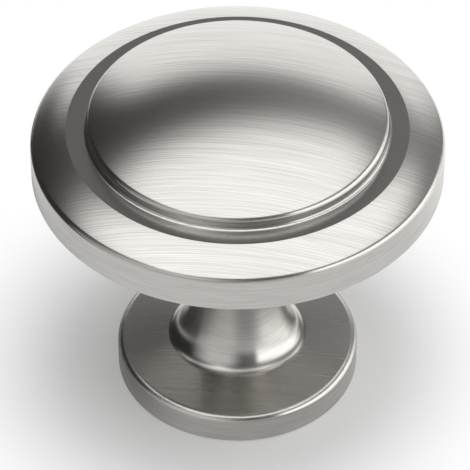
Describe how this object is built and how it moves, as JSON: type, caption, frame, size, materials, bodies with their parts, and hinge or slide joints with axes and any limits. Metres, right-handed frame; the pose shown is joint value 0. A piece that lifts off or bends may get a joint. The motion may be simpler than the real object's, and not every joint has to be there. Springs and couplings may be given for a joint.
{
  "type": "cabinet knob",
  "caption": "Round one-piece cabinet knob with a domed, stepped head, a waisted stem and a round base tapped for a screw from behind; a pull for a door or drawer.",
  "frame": {"origin": "centre of the base's mounting face", "axes": "+Z along the knob's axis, from the cabinet to the dome; X and Y lie in the mounting face"},
  "size_m": [0.032, 0.032, 0.0284],
  "materials": {
    "brushed_nickel": "satin nickel plate, linearly brushed on the up-facing surfaces and round the sides"
  },
  "bodies": {
    "root": {"knob": "brushed_nickel"}
  },
  "joints": []
}
